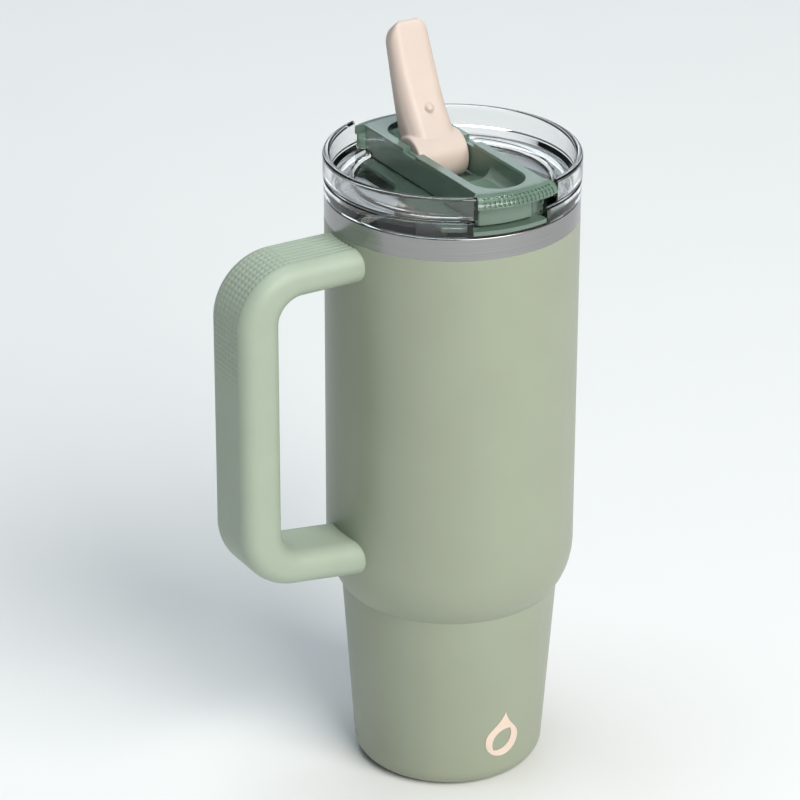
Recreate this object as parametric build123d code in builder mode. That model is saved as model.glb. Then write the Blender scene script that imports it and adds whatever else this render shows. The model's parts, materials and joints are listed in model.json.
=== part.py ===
from build123d import *
from math import cos, degrees, radians, sin, sqrt, tan
import os

# Insulated tumbler with a side handle and a screw-on lid that carries a flip-up spout.
# Millimetres, +Z up, origin at the centre of the foot. The handle points to -X, the
# bridge of the lid runs along Y and the spout folds down towards -Y, the front.

# ---------------------------------------------------------------- driving dimensions
body_r = 49.0            # straight upper wall
cone_r0 = 37.42          # lower cone, radius carried down to z = 0
cone_slope = 0.0702      # growth of the cone's radius per unit of height
foot_corner_r = 7.0
shoulder_arc_r = 31.7
shoulder_top_z = 96.5
paint_top_z = 234.1      # painted shell ends, bare lip band begins
lip_z = 243.1
sheet = 0.5              # stainless sheet
vacuum_gap = 2.4

mouth_r = 47.8           # bore of the lip band
neck_r = 47.1            # bore of the threaded neck
neck_bottom_z = 219.5
thread_z = 225.0         # first turn of both threads
thread_pitch = 5.0
thread_rise = 6.5
thread_height = 0.9      # the crests of lid and neck stay clear of each other
liner_floor_z = 7.5
liner_corner_r = 9.0

handle_reach = 99.0      # axis of the body to the outer face of the grip
handle_top_z = 232.4
handle_width = 28.4
grip_depth = 17.4
arm_depth = 13.8
handle_edge_r = 6.4
low_arm_tilt = 7.25
low_arm_z = 109.0        # top of the lower arm, 52 mm out from the axis
skin = 2.6               # moulding over the handle's core

rim_r = 49.5
rim_z = 259.4
rim_wall = 2.9
ring_r = 49.2
seat_z = 243.5           # underside of the lid's ring, just over the lip
skirt_r = 44.9
skirt_in_r = 43.1
skirt_bottom_z = 222.0

deck_z = 258.6           # top of the bridge
deck_half = 14.8
deck_sheet = 1.6
slot_half = 11.2
slot_front = 41.6        # front end of the spout's slot, towards -Y
slot_front_r = 11.0
slot_back_centre = 26.5  # centre of the slot's round back end, towards +Y
tub_half = 12.9
flange_top_z = 245.7
flange_bottom_z = 244.1
channel_floor_z = 248.8

hinge_y = 14.5
hinge_z = 251.8
lean = 20.0              # the raised spout leans back by this angle
barrel_r = 9.5
barrel_half = 10.85
core_r = 7.7
core_half = 9.7
spout_offset = 3.8       # bore line, behind the hinge axis
spout_bore_r = 2.6
pin_r = 1.5
fit_gap = 0.4            # clearance round the turning barrel

straw_r = 4.2
straw_bore_r = 3.3
straw_bottom_z = 13.0

# ---------------------------------------------------------------- derived geometry
slant = sqrt(1 + cone_slope**2)
foot_centre_r = cone_r0 + cone_slope * foot_corner_r - foot_corner_r * slant
shoulder_centre_r = body_r - shoulder_arc_r


def cone_radius(z, inset):
    """Radius of the lower cone at height z, moved inwards by inset."""
    return cone_r0 + cone_slope * z - inset * slant


def crease(inset):
    """Point where the shoulder's arc meets the cone, both moved inwards by inset."""
    base = cone_radius(0, inset) - shoulder_centre_r
    a = slant**2
    b = 2 * (base * cone_slope - shoulder_top_z)
    c = base**2 + shoulder_top_z**2 - (shoulder_arc_r - inset) ** 2
    z = (-b - sqrt(b * b - 4 * a * c)) / (2 * a)
    return (cone_radius(z, inset), z)


def arc_middle(centre, start, end):
    """Middle point of the short arc from start to end about centre."""
    mid_r = (start[0] + end[0]) / 2 - centre[0]
    mid_z = (start[1] + end[1]) / 2 - centre[1]
    radius = sqrt((start[0] - centre[0]) ** 2 + (start[1] - centre[1]) ** 2)
    length = sqrt(mid_r**2 + mid_z**2)
    return (centre[0] + mid_r * radius / length, centre[1] + mid_z * radius / length)


def wall_curve(inset, corner_r, floor_z):
    """Draw the body's side from its floor to the top of the shoulder, inside BuildLine."""
    corner_c = (cone_radius(floor_z + corner_r, inset) - corner_r * slant, floor_z + corner_r)
    floor_p = (corner_c[0], floor_z)
    side_p = (corner_c[0] + corner_r / slant, corner_c[1] - corner_r * cone_slope / slant)
    crease_p = crease(inset)
    top_p = (body_r - inset, shoulder_top_z)
    ThreePointArc(floor_p, arc_middle(corner_c, floor_p, side_p), side_p)
    Line(side_p, crease_p)
    shoulder_c = (shoulder_centre_r, shoulder_top_z)
    ThreePointArc(crease_p, arc_middle(shoulder_c, crease_p, top_p), top_p)
    return floor_p, top_p


def thread_ridge(root_r, outward):
    """Add one helical ridge to the current part; outward is +1 for the lid, -1 for the neck."""
    with BuildLine(Plane.XY.offset(thread_z)):
        path = Helix(pitch=thread_pitch, height=thread_rise, radius=root_r - 0.1 * outward)
    crest = outward * (thread_height + 0.1)
    with BuildSketch(Plane(origin=path @ 0, x_dir=(1, 0, 0), z_dir=path % 0)) as profile:
        Polygon((0, -1.2), (crest, -0.45), (crest, 0.45), (0, 1.2), align=None)
    sweep(profile.sketch, path=path, is_frenet=True)


# ---------------------------------------------------------------- body of the tumbler
with BuildPart() as outer_shell:
    with BuildSketch(Plane.XZ):
        with BuildLine():
            outer_foot, outer_top = wall_curve(0, foot_corner_r, 0)
            inner_foot, inner_top = wall_curve(sheet, foot_corner_r - sheet, sheet)
            Polyline(outer_top, (body_r, paint_top_z), (body_r - sheet, paint_top_z), inner_top)
            Line(inner_foot, outer_foot)
        make_face()
    revolve(axis=Axis.Z)
outer_shell.part.label = "outer_shell"

liner_out = sheet + vacuum_gap
liner_in = liner_out + sheet
neck_out_r = neck_r + sheet
liner_r = body_r - liner_in
lip_round = 0.55

with BuildPart() as inner_liner:
    with BuildSketch(Plane.XZ):
        with BuildLine():
            out_floor, out_top = wall_curve(liner_out, liner_corner_r + sheet, liner_floor_z - sheet)
            in_floor, in_top = wall_curve(liner_in, liner_corner_r, liner_floor_z)
            Polyline(
                out_top,
                (liner_r + sheet, neck_bottom_z - 2.5),
                (neck_out_r, neck_bottom_z),
                (neck_out_r, paint_top_z - 1.2),
                (body_r - sheet, paint_top_z),
                (body_r, paint_top_z),
                (body_r, lip_z),
                (mouth_r, lip_z),
                (mouth_r, paint_top_z + 0.5),
                (neck_r, paint_top_z - 0.7),
                (neck_r, neck_bottom_z),
                (liner_r, neck_bottom_z - 2.5),
                in_top,
            )
            Polyline(in_floor, (0, liner_floor_z), (0, liner_floor_z - sheet), out_floor)
        make_face()
    revolve(axis=Axis.Z)
    fillet(inner_liner.edges().group_by(Axis.Z)[-1], lip_round)
    thread_ridge(neck_r, -1)
inner_liner.part.label = "inner_liner"

foot_flat_r = 27.5
plate_z = 2.6
seal_hole_r = 2.0

with BuildPart() as base_plate:
    with BuildSketch(Plane.XZ):
        with BuildLine():
            Polyline(
                (0, plate_z),
                (foot_flat_r - 2.0, plate_z),
                (foot_flat_r, 0),
                (foot_centre_r, 0),
                (foot_centre_r, sheet),
                (foot_flat_r + 0.25, sheet),
                (foot_flat_r - 1.75, plate_z + sheet),
                (0, plate_z + sheet),
                close=True,
            )
        make_face()
    revolve(axis=Axis.Z)
    with Locations((0, 0, plate_z + sheet)):
        Hole(seal_hole_r)
base_plate.part.label = "base_plate"

# Bead that closes the pumping hole of the vacuum space.
with BuildPart() as vacuum_seal:
    with BuildSketch(Plane.XY.offset(plate_z - 0.9)):
        Circle(4.0)
    extrude(amount=0.9)
    with BuildSketch(Plane.XY.offset(plate_z)):
        Circle(seal_hole_r)
    extrude(amount=sheet + 0.4)
    fillet(vacuum_seal.edges().group_by(Axis.Z)[0], 0.5)
vacuum_seal.part.label = "vacuum_seal"

getter_place = Plane.XY.offset(plate_z + sheet)
with BuildPart() as getter:
    with BuildSketch(getter_place):
        with Locations((14.0, 0)):
            Circle(5.0)
    extrude(amount=2.0)
    fillet(getter.edges().group_by(Axis.Z)[-1], 0.6)
getter.part.label = "getter"

# Front mark: a plain drop with a leaf cut out of it, laid on the cone.
mark_z = 22.5
mark_half = 7.6
mark_turn = 4.5
mark_thick = 0.22
mark_plane = Plane.XZ.rotated((0, mark_turn, 0))

with BuildPart() as front_mark:
    with BuildSketch(Plane.XZ):
        with BuildLine():
            Polyline(
                (cone_radius(8, 0), 8),
                (cone_radius(38, 0), 38),
                (cone_radius(38, -mark_thick), 38),
                (cone_radius(8, -mark_thick), 8),
                close=True,
            )
        make_face()
    revolve(axis=Axis.Z)
    with BuildSketch(mark_plane):
        with BuildLine():
            low_c = (0, mark_z - 2.4)
            tip = (0, mark_z + 10.2)
            RadiusArc((-mark_half, low_c[1]), (mark_half, low_c[1]), -mark_half)
            Spline(
                (mark_half, low_c[1]), (3.4, mark_z + 4.6), tip,
                tangents=((0, 1), (-0.35, 1)), tangent_scalars=(1.2, 1.0),
            )
            Spline(
                (-mark_half, low_c[1]), (-3.4, mark_z + 4.6), tip,
                tangents=((0, 1), (0.35, 1)), tangent_scalars=(1.2, 1.0),
            )
        make_face()
        with BuildLine():
            RadiusArc((-3.6, mark_z - 7.0), (3.2, mark_z + 2.2), 6.2)
            RadiusArc((-3.6, mark_z - 7.0), (3.2, mark_z + 2.2), -6.2)
        make_face(mode=Mode.SUBTRACT)
    extrude(amount=60, mode=Mode.INTERSECT)
front_mark.part.label = "front_mark"

# ---------------------------------------------------------------- handle
tilt = tan(radians(low_arm_tilt))
corner_out_r = 24.5
corner_in_r = 9.6
low_corner_out_r = 25.0
low_corner_in_r = 10.0
arm_root = 40.0          # the arms are drawn into the body, then trimmed to it


def handle_outline(inset):
    """Draw the closed side view of the handle, moved inwards by inset, inside BuildLine."""
    outer = handle_reach - inset
    inner = handle_reach - grip_depth + inset
    top = handle_top_z - inset
    arm_under = handle_top_z - arm_depth + inset
    low_drop = inset * sqrt(1 + tilt**2)
    low_top = low_arm_z - low_drop - 52 * tilt
    low_under = low_arm_z - arm_depth + low_drop - 52 * tilt
    points = [
        (-arm_root, top),
        (-outer, top),
        (-outer, low_under + tilt * outer),
        (-arm_root, low_under + tilt * arm_root),
        (-arm_root, low_top + tilt * arm_root),
        (-inner, low_top + tilt * inner),
        (-inner, arm_under),
        (-arm_root, arm_under),
    ]
    outer_radii = [corner_out_r - inset, low_corner_out_r - inset]
    inner_radii = [low_corner_in_r + inset, corner_in_r + inset]
    FilletPolyline(*points[:4], radius=outer_radii)
    Line(points[3], points[4])
    FilletPolyline(*points[4:], radius=inner_radii)
    Line(points[7], points[0])


bracket_reach = 66.0
bracket_wide = 9.0
bracket_thick = 3.0
weld_turn = 10.5         # half the angle that each bracket's weld pad wraps
weld_half = 3.2
top_arm_mid_z = handle_top_z - arm_depth / 2
low_arm_mid_z = low_arm_z - arm_depth / 2 + 5.0 * tilt
screw_out = 59.0         # distance of each screw from the body's axis
screw_r = 1.6
head_r = 3.0
screw_len = 8.4
head_h = 2.2
plug_r = 3.6
plug_h = 1.6
low_arm_under = low_arm_z - arm_depth + (screw_out - 52) * tilt
top_arm_under = handle_top_z - arm_depth
arm_mids = (top_arm_mid_z, low_arm_mid_z)
arm_unders = (top_arm_under, low_arm_under)

# Blank of the stiff core, before it is trimmed and drilled.
with BuildPart() as core_blank:
    with BuildSketch(Plane.XZ):
        with BuildLine():
            handle_outline(skin)
        make_face()
    extrude(amount=handle_width / 2 - skin, both=True)
    long_edges = core_blank.edges().filter_by(Axis.Y, reverse=True)
    fillet(long_edges.filter_by_position(Axis.X, -200, -arm_root - 0.01), 3.0)

with BuildPart() as handle_core:
    add(core_blank.part)
    with BuildSketch():
        Circle(body_r + 1.2)
    extrude(amount=300, mode=Mode.SUBTRACT)
    for mid_z, under_z in zip(arm_mids, arm_unders):
        with BuildSketch(Plane.XY.offset(mid_z - bracket_thick / 2)):
            with Locations((-(body_r + bracket_reach) / 2, 0)):
                Rectangle(bracket_reach - body_r, 2 * bracket_wide)
        extrude(amount=bracket_thick, mode=Mode.SUBTRACT)
        with BuildSketch(Plane.XY.offset(under_z - 5)):
            with Locations((-screw_out, 0)):
                Circle(head_r)
        extrude(amount=5 + plug_h + head_h, mode=Mode.SUBTRACT)
        with BuildSketch(Plane.XY.offset(under_z)):
            with Locations((-screw_out, 0)):
                Circle(screw_r)
        extrude(amount=screw_len + plug_h, mode=Mode.SUBTRACT)
handle_core.part.label = "handle_core"

# Soft moulding over the core; it carries the round edges that the hand meets.
with BuildPart() as handle_grip:
    with BuildSketch(Plane.XZ):
        with BuildLine():
            handle_outline(0)
        make_face()
    extrude(amount=handle_width / 2, both=True)
    long_edges = handle_grip.edges().filter_by(Axis.Y, reverse=True)
    fillet(long_edges.filter_by_position(Axis.X, -200, -arm_root - 0.01), handle_edge_r)
    add(core_blank.part, mode=Mode.SUBTRACT)
    with BuildSketch():
        Circle(body_r)
    extrude(amount=300, mode=Mode.SUBTRACT)
    for under_z in arm_unders:
        with BuildSketch(Plane.XY.offset(under_z - 5)):
            with Locations((-screw_out, 0)):
                Circle(plug_r)
        extrude(amount=5 + plug_h + head_h, mode=Mode.SUBTRACT)
handle_grip.part.label = "handle_grip"

# Steel tongues welded to the shell, one inside each arm.
with BuildPart() as handle_brackets:
    for mid_z in arm_mids:
        with BuildSketch(Plane.XY.offset(mid_z - bracket_thick / 2)):
            with Locations((-(body_r + bracket_reach) / 2 + 1, 0)):
                Rectangle(bracket_reach - body_r + 2, 2 * bracket_wide)
        extrude(amount=bracket_thick)
        with BuildSketch(Plane.XY.offset(mid_z - weld_half)):
            with BuildLine():
                weld_out = CenterArc((0, 0), body_r + 1.0, 180 - weld_turn, 2 * weld_turn)
                weld_in = CenterArc((0, 0), body_r - 1.0, 180 - weld_turn, 2 * weld_turn)
                Line(weld_out @ 0, weld_in @ 0)
                Line(weld_out @ 1, weld_in @ 1)
            make_face()
        extrude(amount=2 * weld_half)
    with BuildSketch():
        Circle(body_r)
    extrude(amount=300, mode=Mode.SUBTRACT)
    for mid_z in arm_mids:
        with BuildSketch(Plane.XY.offset(mid_z - 5)):
            with Locations((-screw_out, 0)):
                Circle(screw_r)
        extrude(amount=10, mode=Mode.SUBTRACT)
handle_brackets.part.label = "handle_brackets"

with BuildPart() as handle_screws:
    for under_z in arm_unders:
        with BuildSketch(Plane.XY.offset(under_z + plug_h)):
            with Locations((-screw_out, 0)):
                Circle(head_r)
        extrude(amount=head_h)
        with BuildSketch(Plane.XY.offset(under_z + plug_h + head_h)):
            with Locations((-screw_out, 0)):
                Circle(screw_r)
        extrude(amount=screw_len - head_h)
        with BuildSketch(Plane.XY.offset(under_z + plug_h)):
            with Locations((-screw_out, 0)):
                RegularPolygon(1.3, 6)
        extrude(amount=1.2, mode=Mode.SUBTRACT)
handle_screws.part.label = "handle_screws"

with BuildPart() as screw_plugs:
    for under_z in arm_unders:
        with BuildSketch(Plane.XY.offset(under_z)):
            with Locations((-screw_out, 0)):
                Circle(plug_r)
        extrude(amount=plug_h)
screw_plugs.part.label = "screw_plugs"

# ---------------------------------------------------------------- lid: clear bowl
rim_gap_half = 17.5      # half width of the notch in the rim at each end of the bridge
ring_gap_low = -19.0     # the gap in the ring below reaches further to one side
ring_gap_high = 12.2
ring_gap_in = 41.0
ring_gap_long = 20.0     # radial length of the cutters at the bridge's ends
ring_gap_top_z = 250.2
ring_top_z = 249.0
neck_top_z = 250.1       # the shallow neck between the ring and the rim
bridge_slot_r = 46.2
ledge_in_r = 46.3        # the notch's floor is a ledge that falls outwards
ledge_in_z = 252.3
ledge_out_z = 250.6
notch_in = 36.0

gasket_top_z = 241.3
gasket_low_z = 237.3
groove_r = 45.6
land_r = 47.2
rib_r = 38.1
floor_low_z = 247.4
floor_high_z = 248.8
rim_in_r = rim_r - rim_wall
rim_round_r = rim_wall / 2
ring_gap_mid = (ring_gap_high + ring_gap_low) / 2
ring_gap_wide = ring_gap_high - ring_gap_low
ring_gap_y = -(ring_gap_in + ring_gap_long / 2)

# Room for one end of the bridge in the rim, above its sloping ledge.
with BuildPart() as notch_room:
    with BuildSketch(Plane.XZ):
        with BuildLine():
            Polyline(
                (notch_in, ring_top_z), (ledge_in_r, ring_top_z), (ledge_in_r, ledge_in_z),
                (rim_r, ledge_out_z), (rim_r + 2, ledge_out_z), (rim_r + 2, rim_z + 2),
                (notch_in, rim_z + 2), close=True,
            )
        make_face()
    revolve(axis=Axis.Z)
    with BuildSketch(Plane.XY.offset(ring_top_z - 1)):
        with Locations((0, -(notch_in + rim_r) / 2)):
            Rectangle(2 * rim_gap_half, rim_r)
    extrude(amount=rim_z, mode=Mode.INTERSECT)

with BuildPart() as lid_bowl:
    with BuildSketch(Plane.XZ):
        with BuildLine():
            Polyline(
                (rim_in_r, rim_z - rim_round_r),
                (rim_in_r - 0.1, floor_high_z + 1.4),
                (rim_in_r - 1.5, floor_high_z),
                (rib_r + 1.4, floor_high_z),
                (rib_r + 1.1, floor_high_z + 0.8),
                (rib_r + 0.2, floor_high_z + 0.8),
                (rib_r - 0.4, floor_low_z),
                (0, floor_low_z),
                (0, flange_top_z + 0.1),
                (rib_r - 1.2, flange_top_z + 0.1),
                (rib_r + 0.8, flange_top_z + 1.4),
                (skirt_in_r, flange_top_z + 1.4),
                (skirt_in_r, skirt_bottom_z),
                (skirt_r, skirt_bottom_z),
                (skirt_r, gasket_low_z - 1.3),
                (land_r - 0.4, gasket_low_z - 1.0),
                (land_r - 0.4, gasket_low_z),
                (groove_r, gasket_low_z),
                (groove_r, gasket_top_z),
                (land_r, gasket_top_z),
                (land_r, seat_z),
                (ring_r, seat_z),
                (ring_r, ring_top_z),
                (ring_r - 0.6, ring_top_z + 0.4),
                (ring_r - 0.6, neck_top_z),
                (rim_r, neck_top_z + 0.5),
                (rim_r, rim_z - rim_round_r),
            )
            ThreePointArc(
                (rim_r, rim_z - rim_round_r),
                (rim_r - rim_round_r, rim_z),
                (rim_in_r, rim_z - rim_round_r),
            )
        make_face()
    revolve(axis=Axis.Z)
    thread_ridge(skirt_r, 1)
    # Room for the bridge: a slot across the floor, and at each end a notch in the rim and a
    # wider gap in the ring below it, shifted to one side.
    for turn in (0, 180):
        end = Plane.XY.rotated((0, 0, turn))
        with BuildSketch(end.offset(flange_bottom_z)):
            with Locations((0, -bridge_slot_r / 2)):
                Rectangle(2 * deck_half, bridge_slot_r)
            Circle(bridge_slot_r, mode=Mode.INTERSECT)
        extrude(amount=rim_z, mode=Mode.SUBTRACT)
        with BuildSketch(end.offset(flange_bottom_z)):
            with Locations((ring_gap_mid, ring_gap_y)):
                Rectangle(ring_gap_wide, ring_gap_long)
        extrude(amount=ring_gap_top_z - flange_bottom_z, mode=Mode.SUBTRACT)
        with BuildSketch(end.offset(ring_top_z)):
            with Locations(((ring_gap_high - rim_gap_half) / 2, ring_gap_y)):
                Rectangle(ring_gap_high + rim_gap_half, ring_gap_long)
        extrude(amount=rim_z, mode=Mode.SUBTRACT)
        add(notch_room.part, rotation=(0, 0, turn), mode=Mode.SUBTRACT)
lid_bowl.part.label = "lid_bowl"

# Silicone ring in the groove of the skirt, with two soft fins.
gasket_gap = 0.35
with BuildPart() as lid_gasket:
    with BuildSketch(Plane.XZ):
        with BuildLine():
            gasket_in = groove_r + gasket_gap
            gasket_out = mouth_r - gasket_gap
            gasket_low = gasket_low_z + gasket_gap
            gasket_top = gasket_top_z - gasket_gap
            Polyline(
                (gasket_in, gasket_low),
                (gasket_out - 0.4, gasket_low),
                (gasket_out, gasket_low + 0.7),
                (gasket_out - 0.7, gasket_low + 1.2),
                (gasket_out - 0.7, gasket_top - 1.2),
                (gasket_out, gasket_top - 0.7),
                (gasket_out - 0.4, gasket_top),
                (gasket_in, gasket_top),
                close=True,
            )
        make_face()
    revolve(axis=Axis.Z)
lid_gasket.part.label = "lid_gasket"

# ---------------------------------------------------------------- lid: bridge
shoulder_in_r = 42.5     # the deck's flat top ends here and rounds over to the rim
shoulder_low_z = 254.4
shoulder_lip = 0.5       # straight lower edge of the shoulder
deck_hollow_r = 45.2
flare_start = 40.2       # the sides of the deck flare out from here to the rim's notch
flare_end = 43.3
deck_under_z = deck_z - deck_sheet
skirt_half = tub_half + 0.4
notch_low = 3.0          # the latch notches, along Y
notch_high = 12.0
notch_z = 256.9
rear_floor_z = 246.5
pin_inner = 5.0
boss_left = -15.6        # the boss under each end of the deck sits to one side
boss_right = 7.4
boss_in = 41.3
boss_round = 1.5
boss_low_z = 247.0
boss_gap = 0.3
boss_room_left = boss_left - boss_gap
boss_room_right = 0.5 - skirt_half


with BuildSketch() as slot_plan:
    with BuildLine():
        FilletPolyline(
            (-slot_half, slot_back_centre), (-slot_half, -slot_front),
            (slot_half, -slot_front), (slot_half, slot_back_centre), radius=slot_front_r,
        )
        CenterArc((0, slot_back_centre), slot_half, 0, 180)
    make_face()


def deck_polygon(half, flare_half, shift):
    """Corners of the deck's plan: straight sides that flare out at both ends."""
    quarter = [(half, flare_start + shift), (flare_half, flare_end + shift), (flare_half, 60)]
    far_left = [(-x, y) for x, y in reversed(quarter)]
    near = [(-x, -y) for x, y in quarter + far_left]
    return quarter + far_left + near


with BuildSketch() as deck_plan:
    Polygon(*deck_polygon(deck_half, rim_gap_half, 0))

with BuildSketch() as deck_hollow_plan:
    Polygon(*deck_polygon(skirt_half, rim_gap_half - 1.5, 0.6))

pit_pitch = 1.9
pit_size = 1.2
pit_depth = 0.55
pit_rows = 3
pit_columns = 17
pit_first_angle = 8.0    # rows of pits climb the shoulder's lower half
pit_row_angle = 20.0
shoulder_run_r = rim_r - shoulder_in_r
shoulder_run_z = deck_z - shoulder_low_z - shoulder_lip


def shoulder_point(climb):
    """Radius, height and outward slope of the rounded shoulder, climb degrees round it."""
    angle = radians(climb)
    r = shoulder_in_r + shoulder_run_r * cos(angle)
    z = deck_z - shoulder_run_z * (1 - sin(angle))
    return r, z, cos(angle) / shoulder_run_r, sin(angle) / shoulder_run_z


pit_places = []
for end_turn in (-90, 90):
    for row in range(pit_rows):
        climb = pit_first_angle + row * pit_row_angle
        pit_r, pit_z, out_part, up_part = shoulder_point(climb)
        for column in range(pit_columns):
            across = (column - (pit_columns - 1) / 2) * degrees(pit_pitch / rim_r)
            along = radians(end_turn + across)
            pit_places.append(
                Plane(
                    origin=(pit_r * cos(along), pit_r * sin(along), pit_z),
                    x_dir=(-sin(along), cos(along), 0),
                    z_dir=(out_part * cos(along), out_part * sin(along), up_part),
                )
            )

with BuildPart() as bridge_cover:
    # Deck with its rounded, dimpled shoulders.
    with BuildSketch(Plane.XY.offset(shoulder_low_z)):
        add(deck_plan.sketch)
    extrude(amount=deck_z - shoulder_low_z)
    with BuildSketch(Plane.XZ):
        with BuildLine():
            shoulder_side_z = deck_z - shoulder_run_z
            Polyline((0, shoulder_low_z), (rim_r, shoulder_low_z), (rim_r, shoulder_side_z))
            EllipticalCenterArc(
                (shoulder_in_r, shoulder_side_z), shoulder_run_r, shoulder_run_z, 0, arc_size=90
            )
            Polyline((shoulder_in_r, deck_z), (0, deck_z), (0, shoulder_low_z))
        make_face()
    revolve(axis=Axis.Z, mode=Mode.INTERSECT)
    with BuildSketch(Plane.XY.offset(shoulder_low_z)):
        add(deck_hollow_plan.sketch)
        Circle(deck_hollow_r, mode=Mode.INTERSECT)
    extrude(amount=deck_under_z - shoulder_low_z, mode=Mode.SUBTRACT)
    # Side walls down to the flange of the tub, and the flared corners above the bowl's floor.
    with BuildSketch(Plane.XY.offset(flange_top_z)):
        Rectangle(2 * deck_half, 2 * flare_start)
        Rectangle(2 * skirt_half, 2 * flare_start, mode=Mode.SUBTRACT)
    extrude(amount=deck_under_z - flange_top_z + 0.2)
    with BuildSketch(Plane.XY.offset(ring_top_z)):
        add(deck_plan.sketch)
        Circle(bridge_slot_r, mode=Mode.INTERSECT)
        add(deck_hollow_plan.sketch, mode=Mode.SUBTRACT)
    extrude(amount=deck_under_z - ring_top_z + 0.2)
    for turn in (0, 180):
        with BuildSketch(Plane.XY.rotated((0, 0, turn)).offset(ring_top_z)):
            with Locations(((boss_room_left + boss_room_right) / 2, -(boss_in - boss_gap + 5))):
                Rectangle(boss_room_right - boss_room_left, 10)
        extrude(amount=shoulder_low_z - ring_top_z, mode=Mode.SUBTRACT)
    # Slot for the spout, and the latch notches across both sides.
    with BuildSketch(Plane.XY.offset(shoulder_low_z)):
        add(slot_plan.sketch)
    extrude(amount=10, mode=Mode.SUBTRACT)
    for side in (-1, 1):
        with BuildSketch(Plane.XY.offset(notch_z)):
            with Locations((side * deck_half, (notch_low + notch_high) / 2)):
                Rectangle(2 * (deck_half - slot_half) + 1, notch_high - notch_low)
        extrude(amount=5, mode=Mode.SUBTRACT)
    with Locations(*pit_places):
        Box(pit_size, pit_size, 2 * pit_depth, mode=Mode.SUBTRACT)
bridge_cover.part.label = "bridge_cover"

tub_end_r = 43.4
boss_r = 46.0
flange_half = 20.5
flange_wide_half = 25.5
flange_step_low = 1.2    # along Y, where the flange narrows
flange_step_high = 7.4
flange_r = 42.8
tab_r = 49.1
tab_gap = 0.3
well_r = barrel_r + fit_gap
well_wall = 1.5
well_open_z = 244.2
block_low_z = 239.4
block_r = 8.5
block_high = 6.0
sill_long = 18.0         # thicker floor under the front of the well
sill_high = 5.0
sill_y = hinge_y - 6.0
seat_r = 6.4
seat_low_z = 240.9
nipple_bottom_z = 230.0
channel_round = 5.0
ramp_start_y = hinge_y - 23.4
ramp_end_y = hinge_y - 7.0
channel_sheet = 1.5
pocket_y = -24.5         # hollow under the channel's floor
pocket_long = 30.0
dimple_low_z = 245.9     # dimple in the floor for the spout's bump
bump_out = 18.6          # distance from the hinge to the bump on the spout's front face
bump_r = 1.9
vent_y = hinge_y - bump_out
vent_r = 1.6
lean_sin = sin(radians(lean))
lean_cos = cos(radians(lean))
port_drop = sqrt(barrel_r**2 - spout_offset**2)
port_y = hinge_y - port_drop * lean_sin + spout_offset * lean_cos

with BuildPart() as channel_room:
    with BuildSketch(Plane.XY.offset(channel_floor_z)):
        add(slot_plan.sketch)
        with Locations((0, 30)):
            Rectangle(60, 60, mode=Mode.SUBTRACT)
    extrude(amount=12)
    low_edges = channel_room.edges().group_by(Axis.Z)[0].filter_by_position(Axis.Y, -60, -0.1)
    fillet(low_edges, channel_round)

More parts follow.
